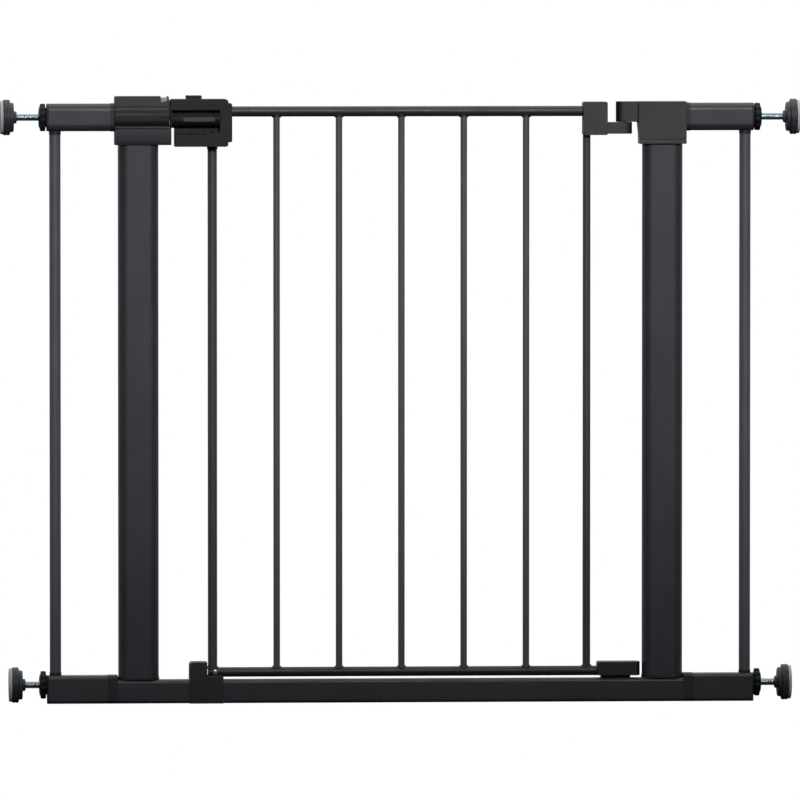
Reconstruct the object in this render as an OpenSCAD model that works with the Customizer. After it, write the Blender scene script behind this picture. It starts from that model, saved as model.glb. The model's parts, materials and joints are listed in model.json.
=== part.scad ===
// Pressure-mounted safety gate: a fixed frame held between two walls by four
// threaded wall pads, and a barred door that swings both ways after its thumb
// slide is drawn back and its latch end is lifted.
// Axes: X right across the doorway, Y back, Z up. Origin: floor, middle of the frame.

/* [Overall] */
// Distance between the centres of the two posts
post_pitch = 648; // [540:1:780]
// Height of the frame's top edge above the floor
frame_h = 740; // [600:1:900]
// Length that each side extension adds beyond the bottom rail
ext_len = 82; // [66:1:200]

/* [Frame tubes] */
// Width of a post
post_w = 50; // [40:1:60]
// Depth of the posts, rails and top arms
frame_d = 25; // [22:0.5:30]
// Wall of every frame tube
tube_wall = 1.6; // [1.2:0.1:2]
// Height of the bottom rail
rail_h = 29; // [27:0.5:33]
// Corner radius of the bottom rails
rail_r = 4; // [2:0.5:5]
// Height of an extension's bottom rail
ext_rail_h = 34.5; // [34:0.5:40]
// Height of a top arm
arm_h = 34; // [32:0.5:36]
// Corner radius of a top arm
arm_r = 9; // [5:0.5:11]
// Length of bottom rail outside each post
rail_past_post = 4; // [3:0.5:12]
// Diameter of the outer bars
outer_bar_d = 14; // [10:0.5:15]
// Distance from the outer bar's centre to the frame's end
outer_bar_inset = 8.5; // [8:0.5:20]

/* [Door] */
// Distance from the hinge post's face to the hinge axis
hinge_gap = 22.5; // [22:0.5:32]
// Distance from the hinge axis to the hinge stile
axis_to_stile = 46.2; // [45:0.1:60]
// Distance from the latch post's face to the latch stile
latch_gap = 66.5; // [64:0.5:72]
// Diameter of the latch stile
stile_d = 11.6; // [9:0.1:12]
// Diameter of the hinge stile
hinge_stile_d = 9.6; // [8:0.1:12]
// Diameter of the inner bars
bar_d = 8.2; // [6:0.1:10]
// Diameter of the door's top rail
top_rail_d = 12.7; // [11.5:0.1:13]
// Drop of the top rail's centre below the frame's top edge
top_rail_drop = 10; // [9:0.5:11]
// Diameter of the door's bottom rail
low_rail_d = 12; // [11.5:0.1:12.5]
// Wall of the door's tubes
door_wall = 1.2; // [0.8:0.1:1.8]
// Gap between the closed door and the frame's bottom rail
door_gap = 3; // [2.5:0.5:8]

/* [Hinges and latch] */
// Diameter of both hinge pins
pin_d = 8; // [6:0.5:10]
// Radial running clearance of shafts in their bores
run_gap = 0.05; // [0.02:0.01:0.08]
// Angle by which the latch end of the door lifts
lift_deg = 0.5; // [0.45:0.01:0.55]
// Travel of the thumb slide
slide_travel = 8; // [7:0.5:8.5]
// Length by which the latch bolt enters the frame
bolt_reach = 5.5; // [4:0.5:6]
// Travel of the lock indicator
flag_travel = 5.5; // [4:0.5:6]
// Diameter of the grip barrel
grip_d = 16.8; // [14:0.2:17]
// Half of the depth of the handle
handle_half_d = 20.5; // [19:0.5:21.5]

/* [Wall fixings] */
// Diameter of the threaded rods
rod_d = 9; // [7:0.5:11]
// Length of rod inside the frame with the fixing as drawn
rod_inside = 40; // [36:1:50]
// Diameter of a hand wheel
wheel_d = 34.5; // [28:0.5:36]
// Thickness of a hand wheel
wheel_t = 9.5; // [8:0.5:12]
// Diameter of a wall pad
pad_d = 44; // [36:0.5:46]
// Thickness of the rubber face of a pad
rubber_t = 3.6; // [2:0.1:5]
// Distance from an upper hand wheel to its pad
top_rod_gap = 30.8; // [27:0.1:60]
// How much further the lower pads are wound in
low_pad_set = 10; // [0:1:12]
// Height of the lower rods above the floor
low_rod_z = 23; // [22.5:0.5:24]

/* [Hidden] */
$fn = 64;

// Fits
seat_gap = 0.1;
move_gap = 0.3;
cut = 1;

// Frame places
post_x = post_pitch / 2;
rail_end = post_x + post_w / 2 + rail_past_post;
frame_end = rail_end + ext_len;
outer_bar_x = frame_end - outer_bar_inset;
arm_z0 = frame_h - arm_h;
arm_mid_z = frame_h - arm_h / 2;
post_top = frame_h - 5;
half_d = frame_d / 2;
foot_h = 4;
foot_wall = 0.6;
collar_w = 5;
collar_t = 0.4;
arm_inner = rail_end - 2.5;

// Side plates and walls of the moulded covers
cover_half_d = half_d + 4.5;
band_half_d = cover_half_d + 3;
screw_d = 3.4;
screw_head_d = 6.4;
screw_head_h = 2.2;

// Door places, from the hinge axis
axis_x = post_x - post_w / 2 - hinge_gap;
hinge_stile_x = axis_x - axis_to_stile;
latch_stile_x = post_w / 2 + latch_gap - post_x;
bar_count = 5;
bar_pitch = (hinge_stile_x - latch_stile_x) / (bar_count + 1);
bar_shift = 2.2;
first_bar_x = latch_stile_x + bar_pitch + bar_shift;
top_rail_z = frame_h - top_rail_drop;
low_rail_z = rail_h + door_gap + low_rail_d / 2;

// Latch housing, from the latch post's two faces
house_x0 = -post_x - post_w / 2 - 4;
house_x1 = post_w / 2 + 12.5 - post_x;
block_x1 = house_x1 + 3;
band_z0 = frame_h - 30.5;
band_z1 = frame_h - 5;
band_r = 10;
line_h = 1.2;
line_y = half_d + 2.3;
block_z0 = frame_h - 51;
block_chamfer = 5;
cap_z1 = frame_h + 9;

// Handle, from the housing's face and the latch stile
handle_x0 = house_x1 + 1.5;
handle_low_x0 = handle_x0 + 6;
handle_x1 = latch_stile_x + 23.7;
handle_z0 = frame_h - 53;
handle_z1 = frame_h + 5.4;
handle_step_z = band_z0 + 0.5;
grip_x0 = handle_x0 + 2;
grip_x1 = latch_stile_x + 8.5;
grip_z = frame_h - 19.5;
grip_y = grip_d / 2 - handle_half_d;
recess_z0 = handle_z0 + 17;
recess_z1 = frame_h - 8;
recess_y = -stile_d / 2 - 0.8;
groove_z0 = recess_z0 - 3.4;
groove_h = 2;
groove_depth = 1;

// Latch bolt, keeper and indicator
bolt_half_t = 3;
bolt_z0 = frame_h - 28;
bolt_h = 8;
bolt_tip_x = house_x1 - bolt_reach;
spring_end_x = latch_stile_x - stile_d / 2 - 1.9;
bolt_end_x = spring_end_x - slide_travel - 3.5;
stem_x0 = bolt_end_x - 9.5;
button_x0 = stem_x0 - 4;
button_w = 19.5;
button_top = frame_h + 10;
lift_rise = (axis_x - bolt_tip_x) * sin(lift_deg);
keeper_t = 1.7;
keeper_z1 = frame_h - 13.5;
keeper_half_d = 9;
flag_x0 = house_x1 - 10;
flag_x1 = house_x1 - 2.2;
flag_z0 = frame_h - 12;
flag_half_t = 5;
flag_head_z0 = frame_h + 0.5;
flag_head_z1 = frame_h + 7.4;
flag_head_half = 14;
flag_well_z0 = flag_head_z0 - flag_travel - 0.5;

// Hinges
tongue_z0 = frame_h - 38;
tongue_z1 = frame_h - 23.8;
nose_z0 = tongue_z1 + 0.5;
bush_d = pin_d + 4;
tongue_r = bush_d / 2 + 4;
nose_r = tongue_r + 0.1;
block_far_x = hinge_stile_x - hinge_stile_d / 2;
block_near_x = axis_x - 21;
hinge_block_z0 = frame_h - 39.5;
hinge_block_z1 = frame_h + 1.4;
cap_low_z = frame_h - 50.4;
cap_side_x = post_x - post_w / 2 - 5.6;
cap_low_x = post_x - post_w / 2 - 4;
cap_top_z = frame_h + 1.8;
lift_shift = (tongue_z1 - low_rail_z) * sin(lift_deg);
foot_plate_z1 = rail_h + door_gap;
knuckle_z0 = foot_plate_z1 + 0.5;
knuckle_h = 16.8;
knuckle_z1 = knuckle_z0 + knuckle_h;
ball_d = pin_d + 8;
ball_z = knuckle_z0 + 8.4;
ball_half_h = 6;
knuckle_r = 20;
knuckle_half_d = 13;
knuckle_x0 = hinge_stile_x + hinge_stile_d / 2 + 8.4;
foot_screw_x = axis_x - 21;

// Floor catch
catch_x1 = latch_stile_x - stile_d / 2 - 1.4;
catch_x0 = catch_x1 - 21.5;
catch_lip_x1 = catch_x1 + 20;
catch_z1 = rail_h + 21.6;
catch_half_d = half_d + 4;
catch_mid = (catch_x0 + catch_x1) / 2;
catch_pin_x = latch_stile_x + 2.8;
catch_pin_d = 7.6;
catch_lip_z1 = low_rail_z - catch_pin_d / 2 - 0.4;
low_rail_x0 = catch_x1 + 1.5;

// Wall fixings
plug_t = 1.8;
wheel_x0 = frame_end + plug_t + 0.2;
wheel_x1 = wheel_x0 + wheel_t;
pad_hub_t = 3.7;
pad_step_t = 4.5;
pad_step_d = pad_d - 8;
pad_disc_t = 8.6;
top_pad_x0 = wheel_x1 + top_rod_gap;
rod_len = rod_inside + plug_t + 0.2 + wheel_t + top_rod_gap + pad_step_t + 4;

// ---------- helpers ----------

// Extrudes a Y-Z outline from x0 to x1
module along_x(x0, x1) {
    translate([x0, 0, 0])
        rotate([90, 0, 90])
            linear_extrude(x1 - x0)
                children();
}

// Extrudes an X-Z outline from y0 to y1
module along_y(y0, y1) {
    translate([0, y1, 0])
        rotate([90, 0, 0])
            linear_extrude(y1 - y0)
                children();
}

module box(x0, x1, y0, y1, z0, z1) {
    translate([x0, y0, z0])
        cube([x1 - x0, y1 - y0, z1 - z0]);
}

module rod_x(x0, x1, y, z, d) {
    translate([x0, y, z])
        rotate([0, 90, 0])
            cylinder(d = d, h = x1 - x0);
}

module rod_y(y0, y1, x, z, d) {
    translate([x, y1, z])
        rotate([90, 0, 0])
            cylinder(d = d, h = y1 - y0);
}

module rod_z(z0, z1, x, y, d) {
    translate([x, y, z0])
        cylinder(d = d, h = z1 - z0);
}

// Rounded rectangle between two corners
module round_rect(x0, y0, x1, y1, r) {
    translate([x0 + r, y0])
        square([x1 - x0 - 2 * r, y1 - y0]);
    translate([x0, y0 + r])
        square([x1 - x0, y1 - y0 - 2 * r]);
    for (x = [x0 + r, x1 - r])
        for (y = [y0 + r, y1 - r])
            translate([x, y])
                circle(r);
}

// Stadium across the first axis, centred
module stadium(len, wide) {
    square([len - wide, wide], center = true);
    for (s = [-1, 1])
        translate([s * (len - wide) / 2, 0])
            circle(d = wide);
}

module on_side(side) {
    if (side < 0)
        mirror([1, 0, 0])
            children();
    else
        children();
}

// Disc about the X axis with both rims chamfered
module chamfered_disc(x0, t, d, c) {
    translate([x0, 0, 0])
        rotate([0, 90, 0]) {
            cylinder(d1 = d - 2 * c, d2 = d, h = c);
            translate([0, 0, c])
                cylinder(d = d, h = t - 2 * c);
            translate([0, 0, t - c])
                cylinder(d1 = d, d2 = d - 2 * c, h = c);
        }
}

// ---------- fixed frame ----------

module rail_outline(h, shrink) {
    round_rect(-half_d + shrink, shrink, half_d - shrink, h - shrink, rail_r - shrink / 2);
}

module arm_outline(shrink) {
    round_rect(-half_d + shrink, arm_z0 + shrink, half_d - shrink, frame_h - shrink, arm_r - shrink);
}

module bottom_rail() {
    color("#242329")
        difference() {
            along_x(-rail_end, rail_end)
                rail_outline(rail_h, 0);
            along_x(-rail_end - cut, rail_end + cut)
                rail_outline(rail_h, tube_wall);
            rod_z(rail_h - tube_wall - cut, rail_h + cut, axis_x, 0, pin_d + 3);
            for (x = [foot_screw_x, catch_mid])
                rod_z(rail_h - tube_wall - cut, rail_h + cut, x, 0, screw_d);
        }
}

module post(side) {
    color("#3e3d45")
        translate([side * post_x, 0, rail_h])
            linear_extrude(post_top - rail_h)
                difference() {
                    stadium(post_w, frame_d);
                    stadium(post_w - 2 * tube_wall, frame_d - 2 * tube_wall);
                }
}

module post_feet() {
    color("#2c2b31")
        for (side = [-1, 1])
            translate([side * post_x, 0, rail_h])
                linear_extrude(foot_h)
                    difference() {
                        stadium(post_w + 2 * foot_wall, frame_d + 2 * foot_wall);
                        stadium(post_w, frame_d);
                    }
}

module arm(side) {
    color("#45464c")
        on_side(side)
            difference() {
                along_x(arm_inner, frame_end)
                    arm_outline(0);
                along_x(arm_inner - cut, frame_end + cut)
                    arm_outline(tube_wall);
            }
}

module extension_rail(side) {
    color("#242329")
        on_side(side)
            difference() {
                along_x(rail_end, frame_end)
                    rail_outline(ext_rail_h, 0);
                along_x(rail_end - cut, frame_end + cut)
                    rail_outline(ext_rail_h, tube_wall);
            }
}

module outer_bar(side) {
    color("#3a3940")
        difference() {
            rod_z(ext_rail_h, arm_z0, side * outer_bar_x, 0, outer_bar_d);
            rod_z(ext_rail_h + 12, arm_z0 - 12, side * outer_bar_x, 0, outer_bar_d - 2 * tube_wall);
        }
}

// Inner sleeves that join each extension to the bottom rail, with a raised band on show
module rail_joints() {
    sleeve_half = 15;
    band_w = 12;
    band_t = 0.4;
    color("#1b1a20")
        for (side = [-1, 1])
            on_side(side)
                difference() {
                    along_x(rail_end - sleeve_half, rail_end + sleeve_half)
                        rail_outline(rail_h, tube_wall + seat_gap);
                    along_x(rail_end - sleeve_half - cut, rail_end + sleeve_half + cut)
                        rail_outline(rail_h, 2 * tube_wall + seat_gap);
                }
    color("#1b1a20")
        for (side = [-1, 1])
            on_side(side)
                difference() {
                    along_x(rail_end - 3, rail_end + band_w - 3)
                        round_rect(-half_d - band_t, 0, half_d + band_t, ext_rail_h + band_t, rail_r);
                    along_x(rail_end - 3 - cut, rail_end)
                        round_rect(-half_d, -cut, half_d, rail_h, rail_r);
                    along_x(rail_end, rail_end + band_w)
                        round_rect(-half_d, -cut, half_d, ext_rail_h, rail_r);
                }
}

// Rings at the ends of the arms and of the outer bars
module frame_collars() {
    color("#232228")
        for (side = [-1, 1])
            on_side(side) {
                difference() {
                    along_x(rail_end, rail_end + collar_w)
                        arm_outline(-collar_t);
                    along_x(rail_end - cut, rail_end + collar_w + cut)
                        arm_outline(0);
                }
                for (z = [ext_rail_h, arm_z0 - 4])
                    difference() {
                        rod_z(z, z + 4, outer_bar_x, 0, outer_bar_d + 2 * collar_t);
                        rod_z(z - cut, z + 4 + cut, outer_bar_x, 0, outer_bar_d);
                    }
            }
}

// One moulded end plug with a bore for the rod: flange outside, body in the tube
module end_plug(rod_z_at, z0, z1, r) {
    body_len = 16;
    inset = tube_wall + seat_gap;
    difference() {
        union() {
            along_x(frame_end, frame_end + plug_t)
                round_rect(-half_d, z0, half_d, z1, r);
            along_x(frame_end - body_len, frame_end)
                round_rect(-half_d + inset, z0 + inset, half_d - inset, z1 - inset, r - inset / 2);
        }
        rod_x(frame_end - body_len - cut, frame_end + plug_t + cut, 0, rod_z_at, rod_d + 2 * run_gap);
    }
}

module end_plugs() {
    color("#1d1e24")
        for (side = [-1, 1])
            on_side(side) {
                end_plug(arm_mid_z, arm_z0, frame_h, arm_r);
                end_plug(low_rod_z, 0, ext_rail_h, rail_r);
            }
}

// Plugs that join each top arm to its housing
module arm_spigots() {
    inset = tube_wall + seat_gap;
    color("#1b1a20")
        for (side = [-1, 1])
            on_side(side)
                along_x(arm_inner, arm_inner + 18)
                    arm_outline(inset);
}

// ---------- latch housing on the latch post ----------

module housing_outer() {
    along_y(-cover_half_d + 1, cover_half_d - 1)
        round_rect(house_x0, band_z1 - 6, house_x1, cap_z1, 1.5);
    along_x(house_x0, house_x1)
        round_rect(-band_half_d, band_z0, band_half_d, band_z1, band_r);
    along_x(house_x0, block_x1)
        polygon([
            [-cover_half_d, band_z0 + 3], [cover_half_d, band_z0 + 3],
            [cover_half_d, block_z0 + block_chamfer], [cover_half_d - 3, block_z0],
            [3 - cover_half_d, block_z0], [-cover_half_d, block_z0 + block_chamfer]
        ]);
}

module housing_cuts() {
    // post
    translate([-post_x, 0, block_z0 - cut])
        linear_extrude(post_top + seat_gap - block_z0 + cut)
            stadium(post_w + 2 * seat_gap, frame_d + 2 * seat_gap);
    // arm
    along_x(house_x0 - cut, -arm_inner + seat_gap)
        round_rect(-half_d - seat_gap, arm_z0 - seat_gap, half_d + seat_gap, frame_h + seat_gap, arm_r);
    // clear of the door: nothing of the lower block stands in front of the handle
    box(house_x1, block_x1 + cut, -cover_half_d - cut, cover_half_d + cut, band_z0, band_z0 + 4);
    // bolt chamber, with the well of the indicator's head above it
    box(
        flag_x0 - move_gap, house_x1 - keeper_t, -flag_half_t - 0.2, flag_half_t + 0.2,
        bolt_z0 - 1, flag_well_z0 + cut
    );
    box(
        flag_x0 - move_gap, flag_x1 + move_gap, -flag_head_half - move_gap, flag_head_half + move_gap,
        flag_well_z0, cap_z1 + cut
    );
    // windows that show the indicator's head from the front and back
    along_y(-cover_half_d - cut, cover_half_d + cut)
        polygon([
            [flag_x0 - move_gap, flag_head_z0 + 1], [flag_x1 + move_gap, flag_head_z0 + 3.4],
            [flag_x1 + move_gap, cap_z1 + cut], [flag_x0 - move_gap, cap_z1 + cut]
        ]);
    // shadow lines above and below the band
    for (z = [band_z0 - line_h, band_z1], y = [-cover_half_d - cut, line_y])
        box(house_x0 - cut, block_x1 + cut, y, y + cover_half_d + cut - line_y, z, z + line_h);
    // seat of the keeper plate
    box(
        house_x1 - keeper_t, house_x1 + cut, -keeper_half_d - seat_gap, keeper_half_d + seat_gap,
        bolt_z0 - 2 - seat_gap, keeper_z1 + seat_gap
    );
}

house_screws = [
    [house_x0 + 6, cap_z1 - 5], [flag_x0 - 7, cap_z1 - 5], [block_x1 - 7, band_z0 - 10]
];

module housing_half(side) {
    color("#37363c")
        difference() {
            intersection() {
                housing_outer();
                if (side < 0)
                    box(house_x0 - cut, block_x1 + cut, -30, 0, block_z0 - cut, cap_z1 + cut);
                else
                    box(house_x0 - cut, block_x1 + cut, 0, 30, block_z0 - cut, cap_z1 + cut);
            }
            housing_cuts();
            for (p = house_screws)
                screw_hole(p, cover_half_d - 1);
        }
}

// Hole for a screw that enters from the back at p = [x, z], with its head sunk below y_back
module screw_hole(p, y_back) {
    rod_y(-8, y_back + cut, p[0], p[1], screw_d);
    rod_y(y_back - screw_head_h - 0.6, y_back + 6, p[0], p[1], screw_head_d + 0.4);
}

module screw(p, y_back) {
    head_y1 = y_back - 0.6;
    rod_y(-8, head_y1 - screw_head_h, p[0], p[1], screw_d);
    difference() {
        rod_y(head_y1 - screw_head_h, head_y1, p[0], p[1], screw_head_d);
        for (turn = [0, 90])
            translate([p[0], head_y1 - 0.6, p[1]])
                rotate([0, turn, 0])
                    cube([3.6, 2.4, 0.9], center = true);
    }
}

module housing_screws() {
    color("#6f7176")
        for (p = house_screws)
            screw(p, cover_half_d - 1);
}

// Steel strike plate with the window that the bolt enters
module latch_keeper() {
    window_z1 = bolt_z0 + bolt_h + lift_rise + 0.4;
    color("#8d9094")
        difference() {
            box(house_x1 - keeper_t, house_x1, -keeper_half_d, keeper_half_d, bolt_z0 - 2, keeper_z1);
            box(
                house_x1 - keeper_t - cut, house_x1 + cut, -bolt_half_t - move_gap, bolt_half_t + move_gap,
                bolt_z0 - move_gap, window_z1
            );
        }
}

// Green flag that stands up out of the housing while the bolt is home
module lock_indicator() {
    color("#b5dcc0") {
        box(flag_x0, flag_x1, -flag_half_t, flag_half_t, flag_z0, flag_head_z0 + cut);
        along_y(-flag_head_half, flag_head_half)
            round_rect(flag_x0, flag_head_z0, flag_x1, flag_head_z1, 0.8);
    }
}

// ---------- hinge side of the frame ----------

module hinge_cap() {
    color("#45454c")
        difference() {
            union() {
                // cap over the post, narrower at its lower lip
                along_y(-cover_half_d + 1, cover_half_d - 1)
                    polygon([
                        [cap_side_x, cap_top_z], [rail_end, cap_top_z],
                        [rail_end, cap_low_z + 1], [rail_end - 1, cap_low_z],
                        [cap_low_x, cap_low_z], [cap_low_x, cap_low_z + 12], [cap_side_x, nose_z0]
                    ]);
                // arm and nose over the hinge tongue
                translate([0, 0, nose_z0])
                    linear_extrude(cap_top_z - nose_z0) {
                        translate([axis_x, 0])
                            circle(nose_r);
                        translate([axis_x, -nose_r])
                            square([cap_side_x - axis_x + 2, 2 * nose_r]);
                    }
            }
            translate([post_x, 0, cap_low_z - cut])
                linear_extrude(post_top + seat_gap - cap_low_z + cut)
                    stadium(post_w + 2 * seat_gap, frame_d + 2 * seat_gap);
            along_x(arm_inner - seat_gap, rail_end + cut)
                arm_outline(-seat_gap);
            rod_z(nose_z0 - cut, frame_h - 4, axis_x, 0, pin_d);
            // shadow line above the lower lip
            difference() {
                box(cap_side_x - cut, rail_end + cut, -30, 30, cap_low_z + 4.6, cap_low_z + 5.4);
                box(cap_low_x + 0.6, rail_end - 0.6, 1.6 - cover_half_d, cover_half_d - 1.6, 0, frame_h);
            }
        }
}

module top_hinge_pin() {
    color("#9aa3a8")
        rod_z(tongue_z0 + 0.4, frame_h - 4, axis_x, 0, pin_d);
}

// Plate on the bottom rail that carries the lower pin
module lower_hinge_foot() {
    color("#2b2a30")
        difference() {
            union() {
                translate([0, 0, rail_h])
                    linear_extrude(foot_plate_z1 - rail_h)
                        round_rect(axis_x - 28.5, -8, axis_x + 8, 8, 3);
                rod_z(rail_h - tube_wall, rail_h + 1, axis_x, 0, pin_d + 3);
            }
            rod_z(rail_h - tube_wall - cut, foot_plate_z1 + cut, axis_x, 0, pin_d);
            rod_z(rail_h - cut, foot_plate_z1 + cut, foot_screw_x, 0, screw_d);
        }
}

module lower_hinge_pin() {
    color("#9aa3a8")
        rod_z(rail_h - tube_wall, ball_z + ball_half_h - 0.4, axis_x, 0, pin_d);
}

// Saddle over the bottom rail: an end stop, and a low cradle that holds the door's rail
module floor_catch() {
    color("#29282e")
        difference() {
            union() {
                along_y(-catch_half_d, catch_half_d)
                    difference() {
                        square_from(catch_x0, 0, catch_x1, catch_z1);
                        difference() {
                            square_from(catch_x0 - cut, catch_z1 - 4, catch_x0 + 4, catch_z1 + cut);
                            translate([catch_x0 + 4, catch_z1 - 4])
                                circle(4);
                        }
                    }
                along_y(-catch_half_d + 1, catch_half_d - 1)
                    square_from(catch_x1, 0, catch_lip_x1, catch_lip_z1);
            }
            along_x(catch_x0 - cut, catch_lip_x1 + cut)
                round_rect(-half_d - seat_gap, -cut, half_d + seat_gap, rail_h + seat_gap, rail_r);
            rod_x(catch_x1 + 0.01, catch_lip_x1 + cut, 0, low_rail_z, low_rail_d + 2 * move_gap);
            rod_z(rail_h, catch_z1 + cut, catch_mid, 0, screw_d);
            rod_z(catch_z1 - 3, catch_z1 + cut, catch_mid, 0, screw_head_d + 0.4);
        }
}

module square_from(x0, y0, x1, y1) {
    translate([x0, y0])
        square([x1 - x0, y1 - y0]);
}

// Screws that hold the hinge foot and the floor catch to the bottom rail
module base_screws() {
    point_z = rail_h - tube_wall - 5;
    color("#8d9094") {
        rod_z(point_z, foot_plate_z1, foot_screw_x, 0, screw_d);
        rod_z(point_z, catch_z1 - 3, catch_mid, 0, screw_d);
        rod_z(catch_z1 - 3, catch_z1 - 0.8, catch_mid, 0, screw_head_d);
    }
}

// ---------- swivels between frame and door ----------

module top_hinge_bush() {
    color("#b9b6ae")
        difference() {
            rod_z(tongue_z0 + 0.4, tongue_z1 - 0.1, axis_x, 0, bush_d);
            rod_z(tongue_z0 - cut, tongue_z1 + cut, axis_x, 0, pin_d + 2 * run_gap);
        }
}

module lower_hinge_ball() {
    color("#b9b6ae")
        difference() {
            intersection() {
                translate([axis_x, 0, ball_z])
                    sphere(d = ball_d);
                rod_z(ball_z - ball_half_h, ball_z + ball_half_h, axis_x, 0, ball_d + 2);
            }
            rod_z(ball_z - ball_d, ball_z + ball_d, axis_x, 0, pin_d + 2 * run_gap);
        }
}

// ---------- door ----------

module door_top_rail() {
    color("#3c3b41")
        difference() {
            rod_x(latch_stile_x, block_far_x + 14, 0, top_rail_z, top_rail_d);
            rod_x(latch_stile_x, block_far_x + 12, 0, top_rail_z, top_rail_d - 2 * door_wall);
            rod_z(handle_z0, frame_h + 2, latch_stile_x, 0, stile_d);
        }
}

module door_bottom_rail() {
    color("#2e2d33")
        difference() {
            rod_x(low_rail_x0, knuckle_x0 + 12, 0, low_rail_z, low_rail_d);
            rod_y(-10, 10, catch_pin_x, low_rail_z, catch_pin_d);
            rod_x(catch_pin_x + 6, knuckle_x0 + 8, 0, low_rail_z, low_rail_d - 2 * door_wall);
        }
}

module upright(x, z1, d) {
    difference() {
        rod_z(low_rail_z, z1, x, 0, d);
        rod_z(low_rail_z, z1, x, 0, d - 2 * door_wall);
        rod_x(x - 12, x + 12, 0, low_rail_z, low_rail_d);
        rod_x(x - 12, x + 12, 0, top_rail_z, top_rail_d);
    }
}

module latch_stile() {
    color("#3a3940")
        difference() {
            rod_z(low_rail_z, top_rail_z + 8, latch_stile_x, 0, stile_d);
            rod_z(low_rail_z, top_rail_z + 6, latch_stile_x, 0, stile_d - 2 * door_wall);
            rod_x(latch_stile_x - 12, latch_stile_x + 12, 0, low_rail_z, low_rail_d);
            rod_y(-10, 10, catch_pin_x, low_rail_z, catch_pin_d);
        }
}

module hinge_stile() {
    color("#3a3940")
        difference() {
            rod_z(low_rail_z, hinge_block_z0 + 14, hinge_stile_x, 0, hinge_stile_d);
            rod_z(low_rail_z, hinge_block_z0 + 12, hinge_stile_x, 0, hinge_stile_d - 2 * door_wall);
            rod_x(hinge_stile_x - 12, hinge_stile_x + 12, 0, low_rail_z, low_rail_d);
        }
}

module door_bars() {
    color("#4a4950")
        for (i = [1 : bar_count])
            upright(first_bar_x + (i - 1) * bar_pitch, top_rail_z, bar_d);
}

// Weld beads where the uprights meet the rails
module weld_collar(x, z0, d) {
    difference() {
        rod_z(z0, z0 + 5, x, 0, d + 2.6);
        rod_z(z0 - cut, z0 + 5 + cut, x, 0, d);
        rod_x(x - 12, x + 12, 0, low_rail_z, low_rail_d);
        rod_x(x - 12, x + 12, 0, top_rail_z, top_rail_d);
    }
}

module door_weld_collars() {
    low_z = low_rail_z + catch_pin_d / 2 + 0.2;
    color("#35343a") {
        for (i = [1 : bar_count]) {
            weld_collar(first_bar_x + (i - 1) * bar_pitch, low_z, bar_d);
            weld_collar(first_bar_x + (i - 1) * bar_pitch, top_rail_z - top_rail_d / 2 - 2, bar_d);
        }
        weld_collar(latch_stile_x, low_z, stile_d);
        weld_collar(hinge_stile_x, low_z, hinge_stile_d);
    }
}

module stile_collar() {
    color("#29282e")
        difference() {
            rod_z(handle_z0 - 3.3, handle_z0, latch_stile_x, 0, stile_d + 1.6);
            rod_z(handle_z0 - 3.3 - cut, handle_z0 + cut, latch_stile_x, 0, stile_d);
        }
}

// ---------- handle ----------

module handle_outline() {
    difference() {
        round_rect(handle_x0, handle_z0, handle_x1 - 4.8, handle_z1, 3);
        square_from(handle_x0 - cut, handle_z0 - cut, handle_low_x0, handle_step_z);
    }
    round_rect(handle_x1 - 14, handle_z0 + 5.5, handle_x1, handle_z1 - 5, 2.2);
}

handle_screw_places = [
    [handle_low_x0 + 5, handle_z0 + 8], [handle_x1 - 11, handle_z0 + 12], [handle_x1 - 11, handle_z1 - 5.5]
];

module handle_cuts() {
    gap = seat_gap;
    rod_z(handle_z0 - cut, top_rail_z + 8 + gap, latch_stile_x, 0, stile_d + 2 * gap);
    rod_x(latch_stile_x, handle_x1 + cut, 0, top_rail_z, top_rail_d + 2 * gap);
    // channel of the bolt and its spring
    box(
        handle_x0 - cut, spring_end_x, -bolt_half_t - move_gap / 2, bolt_half_t + move_gap / 2,
        bolt_z0 - move_gap / 2, bolt_z0 + bolt_h + move_gap / 2
    );
    // slot of the thumb slide's stem
    box(
        stem_x0 - move_gap, bolt_end_x + slide_travel + move_gap, -bolt_half_t - move_gap / 2,
        bolt_half_t + move_gap / 2, bolt_z0, handle_z1 + cut
    );
    // hollows that leave walls round the lower bar and the stile
    for (side = [-1, 1])
        translate([0, side * (handle_half_d - 3 - 5.5), 0])
            box(handle_x1 - 24, handle_x1 - 16, -5.5, 5.5, handle_z0 + 4, handle_z1 - 4);
    for (p = handle_screw_places)
        screw_hole(p, handle_half_d - 2);
}

module handle_half(side) {
    color("#2d2c32")
        difference() {
            intersection() {
                along_y(-handle_half_d, handle_half_d)
                    handle_outline();
                box(
                    handle_x0 - cut, handle_x1 + cut, side < 0 ? -30 : 0, side < 0 ? 0 : handle_half_d - 2,
                    handle_z0 - cut, handle_z1 + cut
                );
            }
            handle_cuts();
            if (side < 0) {
                // finger recess behind and below the grip barrel, open to the housing at its foot
                box(grip_x0, grip_x1, -30, recess_y, recess_z0, recess_z1);
                box(handle_x0 - cut, grip_x1, -30, recess_y, recess_z0, recess_z0 + 6);
                // groove under the recess
                box(
                    handle_low_x0 - cut, latch_stile_x - 10, -30, groove_depth - handle_half_d,
                    groove_z0, groove_z0 + groove_h
                );
            }
        }
}

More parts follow.
